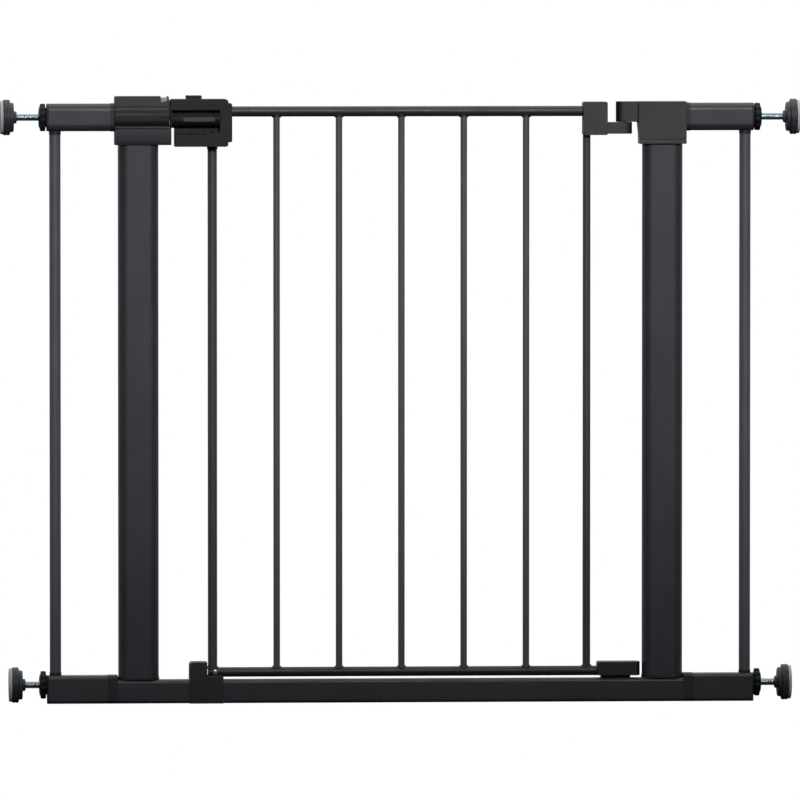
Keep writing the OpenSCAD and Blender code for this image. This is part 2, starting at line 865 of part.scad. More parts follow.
// Round grip across the recess, with a plain raised bar on its face
module grip_barrel() {
    color("#36353c")
        difference() {
            union() {
                rod_x(grip_x0 + 0.2, grip_x1 - 0.2, grip_y, grip_z, grip_d);
                translate([0, grip_y, grip_z])
                    along_y(-grip_d / 2 - 0.4, 0)
                        round_rect(grip_x0 + 13.5, -2.7, grip_x1 - 6, 2.7, 2.4);
            }
            // flat back that beds on the floor of the recess
            box(grip_x0, grip_x1, recess_y - seat_gap, 0, grip_z - grip_d, grip_z + grip_d);
            for (x = [grip_x0 + 3.4, grip_x1 - 4.6])
                difference() {
                    rod_x(x, x + 1.2, grip_y, grip_z, grip_d + cut);
                    rod_x(x - cut, x + 1.2 + cut, grip_y, grip_z, grip_d - 1);
                }
        }
}

module handle_screws() {
    color("#6f7176")
        for (p = handle_screw_places)
            screw(p, handle_half_d - 2);
}

// Thumb slide on top of the handle, ribbed for grip
module release_button() {
    rib_pitch = 2.6;
    mid_x = button_x0 + button_w / 2;
    color("#34333a")
        difference() {
            along_y(-8, 8)
                round_rect(button_x0, handle_z1 + 0.3, button_x0 + button_w, button_top, 1.4);
            for (i = [-2 : 2])
                rod_y(-8 - cut, 8 + cut, mid_x + i * rib_pitch, button_top + 0.4, 1.6);
        }
}

module latch_bolt() {
    color("#8d9094") {
        box(bolt_tip_x, bolt_end_x, -bolt_half_t, bolt_half_t, bolt_z0, bolt_z0 + bolt_h);
        box(stem_x0, bolt_end_x, -bolt_half_t, bolt_half_t, bolt_z0 + bolt_h, handle_z1 + 0.3);
    }
}

// Compression spring behind the bolt, swept as a round wire along a helix
spring_turns = 4.5;
spring_r = 2.4;
wire_r = 0.4;
ring_steps = 20;
wire_sides = 8;
spring_len = spring_end_x - bolt_end_x - 2 * wire_r;

function helix_at(t) = [
    bolt_end_x + wire_r + spring_len * t / spring_turns,
    spring_r * cos(360 * t), bolt_z0 + bolt_h / 2 + spring_r * sin(360 * t)
];

function wire_ring(t) = [
    for (k = [0 : wire_sides - 1])
        helix_at(t) + wire_r * [
            sin(360 * k / wire_sides),
            cos(360 * k / wire_sides) * cos(360 * t), cos(360 * k / wire_sides) * sin(360 * t)
        ]
];

module latch_spring() {
    rings = round(spring_turns * ring_steps);
    points = [for (i = [0 : rings]) each wire_ring(i / ring_steps)];
    sides = [
        for (i = [0 : rings - 1]) for (k = [0 : wire_sides - 1])
            let (a = i * wire_sides + k, b = i * wire_sides + (k + 1) % wire_sides)
                [a, b, b + wire_sides, a + wire_sides]
    ];
    first_end = [for (k = [0 : wire_sides - 1]) wire_sides - 1 - k];
    last_end = [for (k = [0 : wire_sides - 1]) rings * wire_sides + k];
    color("#9aa3a8")
        polyhedron(points, concat([first_end], sides, [last_end]));
}

// ---------- door side of the hinges ----------

module upper_hinge_block() {
    color("#45454c")
        difference() {
            union() {
                along_y(-cover_half_d + 4, cover_half_d - 4)
                    round_rect(block_far_x, hinge_block_z0, block_near_x, hinge_block_z1, 2);
                translate([0, 0, tongue_z0])
                    linear_extrude(tongue_z1 - tongue_z0) {
                        translate([axis_x, 0])
                            circle(tongue_r);
                        translate([block_near_x - 4, -tongue_r])
                            square([axis_x - block_near_x + 4, 2 * tongue_r]);
                    }
            }
            // slot round the bush, long enough for the door to lift
            translate([0, 0, tongue_z0 - cut])
                linear_extrude(tongue_z1 - tongue_z0 + 2 * cut) {
                    translate([axis_x, 0])
                        circle(d = bush_d + 0.2);
                    translate([axis_x - lift_shift - 0.3, 0])
                        circle(d = bush_d + 0.2);
                    translate([axis_x - lift_shift - 0.3, -bush_d / 2 - 0.1])
                        square([lift_shift + 0.3, bush_d + 0.2]);
                }
            rod_x(block_far_x - cut, block_far_x + 14 + seat_gap, 0, top_rail_z, top_rail_d + 2 * seat_gap);
            rod_z(
                hinge_block_z0 - cut, hinge_block_z0 + 14 + seat_gap, hinge_stile_x, 0,
                hinge_stile_d + 2 * seat_gap
            );
        }
}

// Knuckle with a ball socket: it swings on the pin and rocks as the door lifts
module lower_hinge_block() {
    color("#2b2a30")
        difference() {
            union() {
                translate([0, 0, knuckle_z0])
                    linear_extrude(knuckle_h)
                        intersection() {
                            translate([axis_x, 0])
                                circle(knuckle_r);
                            square_from(axis_x - cut, -knuckle_half_d, axis_x + knuckle_r, knuckle_half_d);
                        }
                along_y(-knuckle_half_d, knuckle_half_d)
                    round_rect(knuckle_x0, knuckle_z0, axis_x, knuckle_z1, 2);
            }
            intersection() {
                translate([axis_x, 0, ball_z])
                    sphere(d = ball_d + 2 * run_gap);
                rod_z(ball_z - ball_half_h - 0.2, ball_z + ball_half_h + 0.2, axis_x, 0, ball_d + 2);
            }
            rod_z(knuckle_z0 - cut, ball_z, axis_x, 0, pin_d + 2.6);
            rod_x(knuckle_x0 - cut, knuckle_x0 + 12 + seat_gap, 0, low_rail_z, low_rail_d + 2 * seat_gap);
        }
}

module catch_pin() {
    color("#c4c4c9")
        rod_y(-low_rail_d / 2 - 1.5, low_rail_d / 2 + 1.5, catch_pin_x, low_rail_z, catch_pin_d);
}

// ---------- wall fixings ----------

// side: -1 left, 1 right. low: 0 upper, 1 lower.
function rod_at_z(low) = low == 1 ? low_rod_z : arm_mid_z;
function wound_in(low) = low * low_pad_set;

module hand_wheel(side, low) {
    notches = 12;
    neck_t = 1.4;
    crown_t = 1.6;
    color("#1d1e24")
        translate([0, 0, rod_at_z(low)])
            on_side(side)
                difference() {
                    union() {
                        rod_x(wheel_x0, wheel_x0 + neck_t + cut, 0, 0, wheel_d - 10);
                        chamfered_disc(wheel_x0 + neck_t, wheel_t - neck_t - crown_t, wheel_d, 0.8);
                        translate([wheel_x1 - crown_t, 0, 0])
                            rotate([0, 90, 0])
                                cylinder(d1 = wheel_d - 5, d2 = wheel_d - 12, h = crown_t);
                    }
                    rod_x(wheel_x0 - cut, wheel_x1 + cut, 0, 0, rod_d + 2 * run_gap);
                    for (i = [0 : notches - 1])
                        rotate([360 * i / notches, 0, 0])
                            rod_x(wheel_x0 - cut, wheel_x1 + cut, 0, wheel_d / 2 + 1.2, 4.4);
                }
}

module threaded_rod(side, low) {
    rod_x0 = frame_end - rod_inside - wound_in(low);
    color("#91a3aa")
        translate([0, 0, rod_at_z(low)])
            on_side(side)
                rod_x(rod_x0, rod_x0 + rod_len, 0, 0, rod_d);
}

module wall_pad(side, low) {
    x0 = top_pad_x0 - wound_in(low);
    color("#3b3c42")
        translate([0, 0, rod_at_z(low)])
            on_side(side)
                difference() {
                    union() {
                        rod_x(x0 - pad_hub_t, x0, 0, 0, 15);
                        chamfered_disc(x0, pad_step_t + 1, pad_step_d, 0.8);
                        chamfered_disc(x0 + pad_step_t, pad_disc_t, pad_d, 1.6);
                    }
                    rod_x(x0 - pad_hub_t - cut, x0 + pad_step_t + 4, 0, 0, rod_d);
                }
}

module pad_face(side, low) {
    x0 = top_pad_x0 - wound_in(low) + pad_step_t + pad_disc_t;
    color("#84858a")
        translate([0, 0, rod_at_z(low)])
            on_side(side)
                chamfered_disc(x0, rubber_t, pad_d - 2.4, 1);
}

bottom_rail();
post(-1);  // left_post
post(1);  // right_post
post_feet();
arm(-1);  // left_arm
arm(1);  // right_arm
extension_rail(-1);  // left_extension_rail
extension_rail(1);  // right_extension_rail
outer_bar(-1);  // left_outer_bar
outer_bar(1);  // right_outer_bar
rail_joints();
frame_collars();
end_plugs();
arm_spigots();
housing_half(-1);  // latch_housing_front
housing_half(1);  // latch_housing_rear
latch_keeper();
housing_screws();
lock_indicator();
hinge_cap();
top_hinge_pin();
lower_hinge_foot();
lower_hinge_pin();
floor_catch();
base_screws();
top_hinge_bush();
lower_hinge_ball();
door_top_rail();
door_bottom_rail();
latch_stile();
hinge_stile();
door_bars();
door_weld_collars();
handle_half(-1);  // handle_front
handle_half(1);  // handle_rear
grip_barrel();
handle_screws();
stile_collar();
upper_hinge_block();
lower_hinge_block();
catch_pin();
release_button();
latch_bolt();
latch_spring();
hand_wheel(-1, 0);  // top_left_wheel
threaded_rod(-1, 0);  // top_left_rod
wall_pad(-1, 0);  // top_left_pad
pad_face(-1, 0);  // top_left_pad_face
hand_wheel(1, 0);  // top_right_wheel
threaded_rod(1, 0);  // top_right_rod
wall_pad(1, 0);  // top_right_pad
pad_face(1, 0);  // top_right_pad_face
hand_wheel(-1, 1);  // bottom_left_wheel
threaded_rod(-1, 1);  // bottom_left_rod
wall_pad(-1, 1);  // bottom_left_pad
pad_face(-1, 1);  // bottom_left_pad_face
hand_wheel(1, 1);  // bottom_right_wheel
threaded_rod(1, 1);  // bottom_right_rod
wall_pad(1, 1);  // bottom_right_pad
pad_face(1, 1);  // bottom_right_pad_face
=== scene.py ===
import json
import math

import bmesh
import bpy
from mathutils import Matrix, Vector, noise


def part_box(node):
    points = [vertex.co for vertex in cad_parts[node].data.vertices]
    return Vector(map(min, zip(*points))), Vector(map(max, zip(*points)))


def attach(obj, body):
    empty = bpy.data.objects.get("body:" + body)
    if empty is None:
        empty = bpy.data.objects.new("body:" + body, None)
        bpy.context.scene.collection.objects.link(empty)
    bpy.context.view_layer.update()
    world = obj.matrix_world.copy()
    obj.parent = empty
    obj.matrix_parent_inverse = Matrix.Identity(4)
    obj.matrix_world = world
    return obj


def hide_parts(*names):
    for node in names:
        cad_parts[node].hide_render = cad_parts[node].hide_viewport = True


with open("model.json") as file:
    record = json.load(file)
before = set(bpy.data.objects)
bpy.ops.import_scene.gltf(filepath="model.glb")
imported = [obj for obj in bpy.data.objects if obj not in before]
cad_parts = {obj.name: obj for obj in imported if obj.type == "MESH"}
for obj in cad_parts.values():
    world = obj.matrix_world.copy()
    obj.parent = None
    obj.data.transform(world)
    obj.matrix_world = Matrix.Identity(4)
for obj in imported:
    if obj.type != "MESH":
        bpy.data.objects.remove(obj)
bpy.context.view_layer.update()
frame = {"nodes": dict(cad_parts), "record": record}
nodes = frame["nodes"]
record = frame["record"]
bodyOf = {n: body for body, members in record["behaviour"]["bodies"].items() for n in members}
slotOf = {part["node"]: part["material_slot"] for part in record["subparts"]}
mm = 0.001
print("stage 1: frame loaded,", len(nodes), "nodes")


# ---- camera, floor and light ----

studio = {
    "aim": (-0.0006, 0.0, 0.3735),
    "distance": 16.0,
    "turn": -3.7,      # degrees round the gate
    "rise": 2.6,       # degrees above level
    "lens": 583.2,
    "floorSize": 40.0,
    "floorGrey": 0.04,
    "keyPlace": (0.25, -3.0, 1.85),
    "keySize": (2.8, 0.5),
    "keyPower": 4.9,
    "keySpread": 25,
    "keyAim": (0.0, 0.0, 0.55),
    "topPlace": (0.0, 0.25, 2.4),
    "topSize": (2.2, 0.8),
    "topPower": 5.0,
    "topSpread": 120,
    "topAim": (0.0, 0.0, 0.7),
    "skyFront": 0.012,
    "skyBack": 1.0,
    "skyTop": 0.6,
}


def clearPick():
    if bpy.context.object is not None and bpy.context.object.mode != "OBJECT":
        bpy.ops.object.mode_set(mode="OBJECT")
    bpy.ops.object.select_all(action="DESELECT")


def addNode(tree, kind, place, **values):
    made = tree.nodes.new(kind)
    made.location = place
    for key, value in values.items():
        setattr(made, key, value)
    return made


def setInput(node, **values):
    for key, value in values.items():
        node.inputs[key.replace("_", " ")].default_value = value


def aimLight(name):
    place, target = studio[name + "Place"], studio[name + "Aim"]
    clearPick()
    bpy.ops.object.light_add(type="AREA", location=place)
    lamp = bpy.context.object
    lamp.name = name + "Light"
    lamp.data.shape = "RECTANGLE"
    lamp.data.size, lamp.data.size_y = studio[name + "Size"]
    lamp.data.energy = studio[name + "Power"]
    lamp.data.spread = math.radians(studio[name + "Spread"])
    lamp.visible_camera = False
    lamp.rotation_euler = (Vector(target) - Vector(place)).to_track_quat("-Z", "Y").to_euler()
    return lamp


def buildStudio():
    turn, rise = math.radians(studio["turn"]), math.radians(studio["rise"])
    back = Vector((math.sin(turn) * math.cos(rise), -math.cos(turn) * math.cos(rise), math.sin(rise)))
    clearPick()
    bpy.ops.object.camera_add(location=Vector(studio["aim"]) + back * studio["distance"])
    cam = bpy.context.object
    cam.name = "gateCamera"
    cam.rotation_euler = (-back).to_track_quat("-Z", "Y").to_euler()
    cam.data.lens = studio["lens"]
    cam.data.sensor_width = 36
    cam.data.clip_end = 60
    bpy.context.scene.camera = cam

    aimLight("key")
    aimLight("top")

    clearPick()
    bpy.ops.mesh.primitive_plane_add(size=studio["floorSize"], location=(0, 0, -0.0004))
    floor = bpy.context.object
    floor.name = "studioFloor"
    paper = bpy.data.materials.new("floorPaper")
    paper.use_nodes = True
    tree = paper.node_tree
    shader = tree.nodes["Principled BSDF"]
    grey = studio["floorGrey"]
    setInput(shader, Base_Color=(grey, grey, grey, 1), Roughness=0.9)
    glow = addNode(tree, "ShaderNodeEmission", (0, -300))
    setInput(glow, Color=(1, 1, 1, 1), Strength=1.0)
    path = addNode(tree, "ShaderNodeLightPath", (-200, 300))
    mixer = addNode(tree, "ShaderNodeMixShader", (300, 0))
    tree.links.new(path.outputs["Is Camera Ray"], mixer.inputs[0])
    tree.links.new(shader.outputs[0], mixer.inputs[1])
    tree.links.new(glow.outputs[0], mixer.inputs[2])
    tree.links.new(mixer.outputs[0], tree.nodes["Material Output"].inputs["Surface"])
    floor.data.materials.append(paper)

    world = bpy.data.worlds.new("studioSky")
    bpy.context.scene.world = world
    world.use_nodes = True
    tree = world.node_tree
    sky = tree.nodes["Background"]
    coord = addNode(tree, "ShaderNodeTexCoord", (-1000, 0))
    split = addNode(tree, "ShaderNodeSeparateXYZ", (-800, 0))
    tree.links.new(coord.outputs["Generated"], split.inputs[0])
    depth = addNode(tree, "ShaderNodeMapRange", (-600, 100), interpolation_type="SMOOTHSTEP")
    setInput(depth, From_Min=-0.15, From_Max=0.30, To_Min=studio["skyFront"], To_Max=studio["skyBack"])
    tree.links.new(split.outputs["Y"], depth.inputs["Value"])
    high = addNode(tree, "ShaderNodeMapRange", (-600, -200), interpolation_type="SMOOTHSTEP")
    setInput(high, From_Min=0.45, From_Max=1.0, To_Min=0.0, To_Max=studio["skyTop"])
    tree.links.new(split.outputs["Z"], high.inputs["Value"])
    both = addNode(tree, "ShaderNodeMath", (-400, 0), operation="MAXIMUM")
    tree.links.new(depth.outputs[0], both.inputs[0])
    tree.links.new(high.outputs[0], both.inputs[1])
    path = addNode(tree, "ShaderNodeLightPath", (-400, 300))
    seen = addNode(tree, "ShaderNodeMath", (-200, 0), operation="MAXIMUM")
    tree.links.new(both.outputs[0], seen.inputs[0])
    tree.links.new(path.outputs["Is Camera Ray"], seen.inputs[1])
    tree.links.new(seen.outputs[0], sky.inputs["Strength"])
    sky.inputs["Color"].default_value = (1, 1, 1, 1)
    bpy.context.scene.view_settings.view_transform = "Standard"


buildStudio()
print("stage 2: camera, floor and light")


# ---- shader groups that several finishes share ----

def startGroup(name, inputs, outputs):
    group = bpy.data.node_groups.new(name, "ShaderNodeTree")
    for label, kind, value in inputs:
        socket = group.interface.new_socket(name=label, in_out="INPUT", socket_type=kind)
        if value is not None:
            socket.default_value = value
    for label, kind in outputs:
        group.interface.new_socket(name=label, in_out="OUTPUT", socket_type=kind)
    return group, addNode(group, "NodeGroupInput", (-1200, 0)), addNode(group, "NodeGroupOutput", (700, 0))


def buildEdgeWear():
    # rounded edge normal, and a broken-up mask along the edges
    group, given, out = startGroup(
        "edgeWear",
        [("Vector", "NodeSocketVector", None), ("Radius", "NodeSocketFloat", 0.0008),
         ("Break Scale", "NodeSocketFloat", 160.0), ("Reach", "NodeSocketFloat", 0.3)],
        [("Mask", "NodeSocketFloat"), ("Normal", "NodeSocketVector")])
    bevel = addNode(group, "ShaderNodeBevel", (-900, 200), samples=6)
    shape = addNode(group, "ShaderNodeNewGeometry", (-900, -50))
    dot = addNode(group, "ShaderNodeVectorMath", (-650, 100), operation="DOT_PRODUCT")
    edge = addNode(group, "ShaderNodeMapRange", (-450, 100))
    setInput(edge, From_Min=0.995, From_Max=0.80, To_Min=0.0, To_Max=1.0)
    breakUp = addNode(group, "ShaderNodeTexNoise", (-900, -350))
    setInput(breakUp, Detail=5.0, Roughness=0.65)
    gate = addNode(group, "ShaderNodeMapRange", (-450, -350), interpolation_type="SMOOTHSTEP")
    setInput(gate, From_Min=0.62, From_Max=0.42, To_Min=1.0, To_Max=0.0)
    both = addNode(group, "ShaderNodeMath", (-200, 0), operation="MULTIPLY")
    amount = addNode(group, "ShaderNodeMath", (100, 0), operation="MULTIPLY", use_clamp=True)
    group.links.new(given.outputs["Radius"], bevel.inputs["Radius"])
    group.links.new(bevel.outputs[0], dot.inputs[0])
    group.links.new(shape.outputs["Normal"], dot.inputs[1])
    group.links.new(dot.outputs["Value"], edge.inputs["Value"])
    group.links.new(given.outputs["Vector"], breakUp.inputs["Vector"])
    group.links.new(given.outputs["Break Scale"], breakUp.inputs["Scale"])
    group.links.new(breakUp.outputs["Fac"], gate.inputs["Value"])
    group.links.new(edge.outputs[0], both.inputs[0])
    group.links.new(gate.outputs[0], both.inputs[1])
    group.links.new(both.outputs[0], amount.inputs[0])
    group.links.new(given.outputs["Reach"], amount.inputs[1])
    group.links.new(amount.outputs[0], out.inputs["Mask"])
    group.links.new(bevel.outputs[0], out.inputs["Normal"])
    return group


def buildSurfaceGrain():
    # fine height from two noises and a cell pattern, with a slow tone drift
    group, given, out = startGroup(
        "surfaceGrain",
        [("Vector", "NodeSocketVector", None), ("Fine Scale", "NodeSocketFloat", 1200.0),
         ("Cell Scale", "NodeSocketFloat", 700.0), ("Cell Share", "NodeSocketFloat", 0.3),
         ("Drift Scale", "NodeSocketFloat", 9.0)],
        [("Height", "NodeSocketFloat"), ("Drift", "NodeSocketFloat"), ("Speck", "NodeSocketFloat")])
    fine = addNode(group, "ShaderNodeTexNoise", (-900, 300))
    setInput(fine, Detail=3.0, Roughness=0.55)
    cells = addNode(group, "ShaderNodeTexVoronoi", (-900, 0), feature="SMOOTH_F1")
    setInput(cells, Smoothness=0.6)
    mix = addNode(group, "ShaderNodeMix", (-500, 200), data_type="FLOAT")
    drift = addNode(group, "ShaderNodeTexNoise", (-900, -300))
    setInput(drift, Detail=4.0, Roughness=0.6)
    speck = addNode(group, "ShaderNodeMapRange", (-500, -150))
    setInput(speck, From_Min=0.62, From_Max=0.80, To_Min=0.0, To_Max=1.0)
    for target in (fine, cells, drift):
        group.links.new(given.outputs["Vector"], target.inputs["Vector"])
    group.links.new(given.outputs["Fine Scale"], fine.inputs["Scale"])
    group.links.new(given.outputs["Cell Scale"], cells.inputs["Scale"])
    group.links.new(given.outputs["Drift Scale"], drift.inputs["Scale"])
    group.links.new(given.outputs["Cell Share"], mix.inputs[0])
    group.links.new(fine.outputs["Fac"], mix.inputs[2])
    group.links.new(cells.outputs["Distance"], mix.inputs[3])
    group.links.new(mix.outputs[0], out.inputs["Height"])
    group.links.new(drift.outputs["Fac"], out.inputs["Drift"])
    group.links.new(fine.outputs["Fac"], speck.inputs["Value"])
    group.links.new(speck.outputs[0], out.inputs["Speck"])
    return group


def buildDust():
    # thin film of dust on what faces up, with finger smears
    group, given, out = startGroup(
        "dustFilm",
        [("Vector", "NodeSocketVector", None), ("Amount", "NodeSocketFloat", 0.2),
         ("Smear Scale", "NodeSocketFloat", 26.0)],
        [("Dust", "NodeSocketFloat"), ("Smear", "NodeSocketFloat")])
    shape = addNode(group, "ShaderNodeNewGeometry", (-900, 200))
    split = addNode(group, "ShaderNodeSeparateXYZ", (-700, 200))
    up = addNode(group, "ShaderNodeMapRange", (-500, 200), interpolation_type="SMOOTHSTEP")
    setInput(up, From_Min=0.35, From_Max=1.0, To_Min=0.0, To_Max=1.0)
    grains = addNode(group, "ShaderNodeTexNoise", (-900, -100))
    setInput(grains, Scale=420.0, Detail=6.0, Roughness=0.7)
    smear = addNode(group, "ShaderNodeTexNoise", (-900, -350))
    setInput(smear, Detail=3.0, Roughness=0.5, Distortion=1.2)
    both = addNode(group, "ShaderNodeMath", (-250, 100), operation="MULTIPLY")
    amount = addNode(group, "ShaderNodeMath", (0, 100), operation="MULTIPLY", use_clamp=True)
    group.links.new(shape.outputs["Normal"], split.inputs[0])
    group.links.new(split.outputs["Z"], up.inputs["Value"])
    group.links.new(given.outputs["Vector"], grains.inputs["Vector"])
    group.links.new(given.outputs["Vector"], smear.inputs["Vector"])
    group.links.new(given.outputs["Smear Scale"], smear.inputs["Scale"])
    group.links.new(up.outputs[0], both.inputs[0])
    group.links.new(grains.outputs["Fac"], both.inputs[1])
    group.links.new(both.outputs[0], amount.inputs[0])
    group.links.new(given.outputs["Amount"], amount.inputs[1])
    group.links.new(amount.outputs[0], out.inputs["Dust"])
    group.links.new(smear.outputs["Fac"], out.inputs["Smear"])
    return group


def buildBrushLines():
    # fine lines drawn out along one direction
    group, given, out = startGroup(
        "brushLines",
        [("Vector", "NodeSocketVector", None), ("Stretch", "NodeSocketVector", (30.0, 1500.0, 1500.0))],
        [("Lines", "NodeSocketFloat")])
    scale = addNode(group, "ShaderNodeVectorMath", (-900, 0), operation="MULTIPLY")
    lines = addNode(group, "ShaderNodeTexNoise", (-600, 0))
    setInput(lines, Scale=1.0, Detail=4.0, Roughness=0.6)
    group.links.new(given.outputs["Vector"], scale.inputs[0])
    group.links.new(given.outputs["Stretch"], scale.inputs[1])
    group.links.new(scale.outputs[0], lines.inputs["Vector"])
    group.links.new(lines.outputs["Fac"], out.inputs["Lines"])
    return group


edgeWear = buildEdgeWear()
surfaceGrain = buildSurfaceGrain()
dustFilm = buildDust()
brushLines = buildBrushLines()
print("stage 3: shader groups")


# ---- finishes ----

def startFinish(name):
    finish = bpy.data.materials.new(name)
    finish.use_nodes = True
    tree = finish.node_tree
    coord = addNode(tree, "ShaderNodeTexCoord", (-1600, 0))
    return finish, tree, tree.nodes["Principled BSDF"], coord.outputs["Object"]


def placeGroup(tree, group, place, vector, **values):
    made = addNode(tree, "ShaderNodeGroup", place, node_tree=group)
    tree.links.new(vector, made.inputs["Vector"])
    setInput(made, **values)
    return made


def mixColours(tree, place, mask, first, second):
    # first and second are a colour or an output
    made = addNode(tree, "ShaderNodeMix", place, data_type="RGBA")
    tree.links.new(mask, made.inputs[0])
    for index, colour in ((6, first), (7, second)):
        if isinstance(colour, tuple):
            made.inputs[index].default_value = (*colour, 1)
        else:
            tree.links.new(colour, made.inputs[index])
    return made.outputs[2]


def spread(tree, place, value, low, high, fromLow=0.3, fromHigh=0.7):
    made = addNode(tree, "ShaderNodeMapRange", place)
    setInput(made, From_Min=fromLow, From_Max=fromHigh, To_Min=low, To_Max=high)
    tree.links.new(value, made.inputs["Value"])
    return made.outputs[0]


dustTone = (0.30, 0.29, 0.27)


def coatedFinish(name, look):
    # powder coat and moulded plastic: tone drift, grain, worn edges, dust and smears
    finish, tree, shader, place = startFinish(name)
    wear = placeGroup(tree, edgeWear, (-1200, 400), place,
                      Radius=look["edgeRadius"], Break_Scale=look["wearScale"], Reach=look["wear"])
    grain = placeGroup(tree, surfaceGrain, (-1200, 0), place,
                       Fine_Scale=look["fineScale"], Cell_Scale=look["cellScale"],
                       Cell_Share=look["cellShare"], Drift_Scale=look["driftScale"])
    dust = placeGroup(tree, dustFilm, (-1200, -400), place,
                      Amount=look["dust"], Smear_Scale=look["smearScale"])
    drift = spread(tree, (-950, 200), grain.outputs["Drift"], 0.0, 1.0)
    colour = mixColours(tree, (-750, 300), drift, look["colour"], look["colourLight"])
    speck = spread(tree, (-950, 0), grain.outputs["Speck"], 0.0, look["speck"], 0.0, 1.0)
    colour = mixColours(tree, (-550, 250), speck, colour, look["speckColour"])
    colour = mixColours(tree, (-350, 250), wear.outputs["Mask"], colour, look["wearColour"])
    colour = mixColours(tree, (-150, 250), dust.outputs["Dust"], colour, dustTone)
    tree.links.new(colour, shader.inputs["Base Color"])
    rough = spread(tree, (-750, -100), dust.outputs["Smear"], look["rough"][0], look["rough"][1])
    dusty = addNode(tree, "ShaderNodeMath", (-500, -100), operation="ADD", use_clamp=True)
    tree.links.new(rough, dusty.inputs[0])
    tree.links.new(dust.outputs["Dust"], dusty.inputs[1])
    tree.links.new(dusty.outputs[0], shader.inputs["Roughness"])
    bump = addNode(tree, "ShaderNodeBump", (-250, -350))
    setInput(bump, Strength=look["bump"], Distance=look["bumpHeight"])
    tree.links.new(grain.outputs["Height"], bump.inputs["Height"])
    tree.links.new(wear.outputs["Normal"], bump.inputs["Normal"])
    tree.links.new(bump.outputs[0], shader.inputs["Normal"])
    setInput(shader, Specular_IOR_Level=look["gloss"])
    return finish


def metalFinish(name, look):
    # plated steel: drawn lines, cloudy plating, darker streaks along the lines
    finish, tree, shader, place = startFinish(name)
    wear = placeGroup(tree, edgeWear, (-1200, 400), place,
                      Radius=look["edgeRadius"], Break_Scale=look["wearScale"], Reach=look["wear"])
    grain = placeGroup(tree, surfaceGrain, (-1200, 0), place,
                       Fine_Scale=look["fineScale"], Cell_Scale=look["cellScale"],
                       Cell_Share=look["cellShare"], Drift_Scale=look["driftScale"])
    lines = placeGroup(tree, brushLines, (-1200, -400), place, Stretch=look["stretch"])
    drift = spread(tree, (-950, 200), grain.outputs["Drift"], 0.0, 1.0)
    colour = mixColours(tree, (-750, 300), drift, look["colour"], look["colourLight"])
    streak = spread(tree, (-950, -200), lines.outputs["Lines"], 0.0, look["streak"])
    colour = mixColours(tree, (-550, 250), streak, colour, look["streakColour"])
    colour = mixColours(tree, (-350, 250), wear.outputs["Mask"], colour, look["wearColour"])
    tree.links.new(colour, shader.inputs["Base Color"])
    rough = spread(tree, (-750, -100), lines.outputs["Lines"], look["rough"][0], look["rough"][1])
    tree.links.new(rough, shader.inputs["Roughness"])
    bump = addNode(tree, "ShaderNodeBump", (-250, -350))
    setInput(bump, Strength=look["bump"], Distance=look["bumpHeight"])
    tree.links.new(lines.outputs["Lines"], bump.inputs["Height"])
    tree.links.new(wear.outputs["Normal"], bump.inputs["Normal"])
    tree.links.new(bump.outputs[0], shader.inputs["Normal"])
    setInput(shader, Metallic=look["metal"])
    return finish


powderCoat = {
    "colour": (0.0290, 0.0290, 0.0385), "colourLight": (0.0365, 0.0365, 0.0475),
    "speckColour": (0.062, 0.062, 0.074), "speck": 0.35, "wearColour": (0.085, 0.085, 0.097), "wear": 0.5,
    "edgeRadius": 0.0010, "wearScale": 140.0, "fineScale": 1150.0, "cellScale": 620.0, "cellShare": 0.35,
    "driftScale": 11.0, "dust": 0.16, "smearScale": 22.0, "rough": (0.40, 0.52),
    "bump": 0.35, "bumpHeight": 0.00022, "gloss": 0.45,
}
# the door's tubes take a darker copy of the frame's powder coat: painted shade, not a paint of their own
doorPaintedShadeCoat = dict(
    powderCoat, colour=(0.022, 0.022, 0.029), colourLight=(0.028, 0.028, 0.036), rough=(0.42, 0.54))
# still darker copy for the door's low rail: painted shade beneath it
lowRailPaintedShadeCoat = dict(doorPaintedShadeCoat, colour=(0.015, 0.015, 0.020), colourLight=(0.019, 0.019, 0.025))
# lighter copy for the stiles: painted light on the same powder coat
stilePaintedLightCoat = dict(powderCoat, colour=(0.053, 0.052, 0.065), colourLight=(0.064, 0.063, 0.077))
# lighter copy for the bars: painted highlight, the bright backdrop's reflection on their round sides
barPaintedHighlightCoat = dict(powderCoat, colour=(0.083, 0.081, 0.100), colourLight=(0.100, 0.098, 0.119))
mouldedCover = dict(
    powderCoat, colour=(0.0290, 0.0285, 0.0360), colourLight=(0.0350, 0.0345, 0.0430), speck=0.22, wear=0.35,
    wearColour=(0.075, 0.075, 0.085), fineScale=1900.0, cellScale=1500.0, cellShare=0.7, rough=(0.46, 0.58),
    bump=0.5, bumpHeight=0.00016, gloss=0.4)
mouldedHandle = dict(
    mouldedCover, colour=(0.0098, 0.0094, 0.0125), colourLight=(0.0130, 0.0126, 0.0162), rough=(0.44, 0.58),
    wearColour=(0.045, 0.045, 0.052), gloss=0.24)
gripSatin = dict(
    mouldedHandle, colour=(0.0085, 0.0082, 0.0108), colourLight=(0.0115, 0.0110, 0.0142), rough=(0.48, 0.60),
    bump=0.25, gloss=0.2)
blackMoulded = dict(
    mouldedCover, colour=(0.0195, 0.0190, 0.0240), colourLight=(0.0250, 0.0244, 0.0305),
    wearColour=(0.05, 0.05, 0.056), rough=(0.50, 0.64), gloss=0.35)
wheelMoulded = dict(
    blackMoulded, colour=(0.0060, 0.0062, 0.0085), colourLight=(0.0090, 0.0092, 0.0120), wear=0.2,
    wearColour=(0.03, 0.03, 0.035), rough=(0.55, 0.68), gloss=0.2)
padMoulded = dict(mouldedCover, colour=(0.030, 0.030, 0.038), colourLight=(0.038, 0.038, 0.047), wear=0.25)
